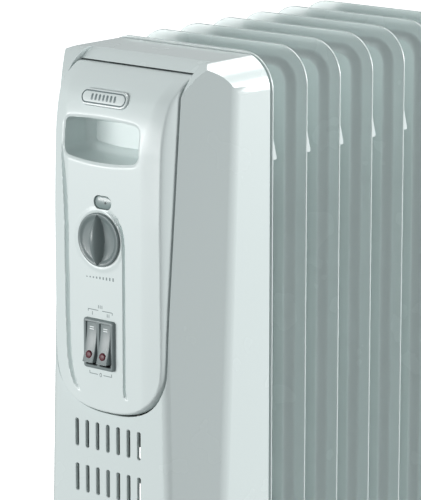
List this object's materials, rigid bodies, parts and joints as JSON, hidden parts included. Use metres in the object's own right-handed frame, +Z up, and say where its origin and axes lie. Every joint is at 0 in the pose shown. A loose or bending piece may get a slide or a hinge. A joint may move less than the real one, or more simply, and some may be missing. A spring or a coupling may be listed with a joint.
{
  "type": "oil filled radiator heater",
  "caption": "Portable electric oil filled column radiator on casters, with pressed steel fins and a vented control box at one end that carries a knob, rockers and a grip recess.",
  "frame": {"origin": "on the floor, below the middle of the heater's bounding box", "axes": "+Z up, the control box and its knob face -Y, the fins follow one another along +Y, +X across the width, to the right of a person who faces the controls"},
  "size_m": [0.212, 0.342, 0.64],
  "materials": {
    "painted_fins": "gloss baked enamel, pale grey white",
    "painted_housing": "gloss baked enamel, pale grey white",
    "fascia_plastic": "satin gloss moulding, pale grey white",
    "badge": "gloss inset pill with a grey ring",
    "pilot_window": "translucent grey window",
    "pilot_lamp": "clear neon bulb",
    "knob_plastic": "satin grey moulding",
    "switch_plastic": "satin grey moulding",
    "red_lens": "dark red translucent lens",
    "painted_base": "gloss baked enamel, pale grey white",
    "zinc_steel": "zinc plated",
    "element_steel": "heat tinted sheath",
    "brass": "machined",
    "gasket_rubber": "soft black rubber",
    "dark_plastic": "moulded, matt",
    "caster_plastic": "moulded, fine grain",
    "lead_insulation": "silicone sleeve"
  },
  "bodies": {
    "radiator": {"fin_1": "painted_fins", "fin_2": "painted_fins", "fin_3": "painted_fins", "fin_4": "painted_fins", "fin_5": "painted_fins", "fin_6": "painted_fins", "fin_7": "painted_fins", "hub_collars": "painted_fins", "hub_caps": "painted_fins", "control_housing": "painted_housing", "control_fascia": "fascia_plastic", "badge_plate": "badge", "pilot_window": "pilot_window", "pilot_lamp": "pilot_lamp", "switch_bezel": "switch_plastic", "base_bar_front": "painted_base", "base_bar_rear": "painted_base", "chassis_plate": "zinc_steel", "lower_bracket": "zinc_steel", "u_bolts": "zinc_steel", "wing_nuts": "zinc_steel", "chassis_screws": "zinc_steel", "fascia_screws": "zinc_steel", "housing_screws": "zinc_steel", "heating_element": "element_steel", "filler_plug": "brass", "element_flange": "brass", "element_gasket": "gasket_rubber", "cord_gland": "gasket_rubber", "thermal_cutout": "dark_plastic", "terminal_block": "dark_plastic", "thermostat_body": "dark_plastic", "switch_body": "dark_plastic", "caster_sockets": "dark_plastic", "wiring_loom": "lead_insulation"},
    "thermostat_knob": {"thermostat_knob": "knob_plastic", "thermostat_shaft": "zinc_steel"},
    "rocker_left": {"rocker_left": "switch_plastic", "lens_left": "red_lens"},
    "rocker_right": {"rocker_right": "switch_plastic", "lens_right": "red_lens"},
    "caster_front_left": {"caster_fork_front_left": "caster_plastic"},
    "wheels_front_left": {"caster_wheels_front_left": "caster_plastic", "caster_axle_front_left": "zinc_steel"},
    "caster_front_right": {"caster_fork_front_right": "caster_plastic"},
    "wheels_front_right": {"caster_wheels_front_right": "caster_plastic", "caster_axle_front_right": "zinc_steel"},
    "caster_rear_left": {"caster_fork_rear_left": "caster_plastic"},
    "wheels_rear_left": {"caster_wheels_rear_left": "caster_plastic", "caster_axle_rear_left": "zinc_steel"},
    "caster_rear_right": {"caster_fork_rear_right": "caster_plastic"},
    "wheels_rear_right": {"caster_wheels_rear_right": "caster_plastic", "caster_axle_rear_right": "zinc_steel"}
  },
  "joints": [
    {"name": "knob_turn", "type": "hinge", "parent": "radiator", "child": "thermostat_knob", "pos_m": [0, -0.1615, 0.516], "axis": [0, -1, 0], "range_deg": [-140, 140]},
    {"name": "rocker_left_press", "type": "hinge", "parent": "radiator", "child": "rocker_left", "pos_m": [-0.0062, -0.158, 0.443], "axis": [1, 0, 0], "range_deg": [0, 14]},
    {"name": "rocker_right_press", "type": "hinge", "parent": "radiator", "child": "rocker_right", "pos_m": [0.0062, -0.158, 0.443], "axis": [1, 0, 0], "range_deg": [0, 14]},
    {"name": "swivel_front_left", "type": "hinge", "parent": "radiator", "child": "caster_front_left", "pos_m": [-0.091, -0.052, 0.05], "axis": [0, 0, 1], "continuous": true},
    {"name": "spin_front_left", "type": "hinge", "parent": "caster_front_left", "child": "wheels_front_left", "pos_m": [-0.091, -0.038, 0.019], "axis": [1, 0, 0], "continuous": true},
    {"name": "swivel_front_right", "type": "hinge", "parent": "radiator", "child": "caster_front_right", "pos_m": [0.091, -0.052, 0.05], "axis": [0, 0, 1], "continuous": true},
    {"name": "spin_front_right", "type": "hinge", "parent": "caster_front_right", "child": "wheels_front_right", "pos_m": [0.091, -0.038, 0.019], "axis": [1, 0, 0], "continuous": true},
    {"name": "swivel_rear_left", "type": "hinge", "parent": "radiator", "child": "caster_rear_left", "pos_m": [-0.091, 0.133, 0.05], "axis": [0, 0, 1], "continuous": true},
    {"name": "spin_rear_left", "type": "hinge", "parent": "caster_rear_left", "child": "wheels_rear_left", "pos_m": [-0.091, 0.147, 0.019], "axis": [1, 0, 0], "continuous": true},
    {"name": "swivel_rear_right", "type": "hinge", "parent": "radiator", "child": "caster_rear_right", "pos_m": [0.091, 0.133, 0.05], "axis": [0, 0, 1], "continuous": true},
    {"name": "spin_rear_right", "type": "hinge", "parent": "caster_rear_right", "child": "wheels_rear_right", "pos_m": [0.091, 0.147, 0.019], "axis": [1, 0, 0], "continuous": true}
  ]
}
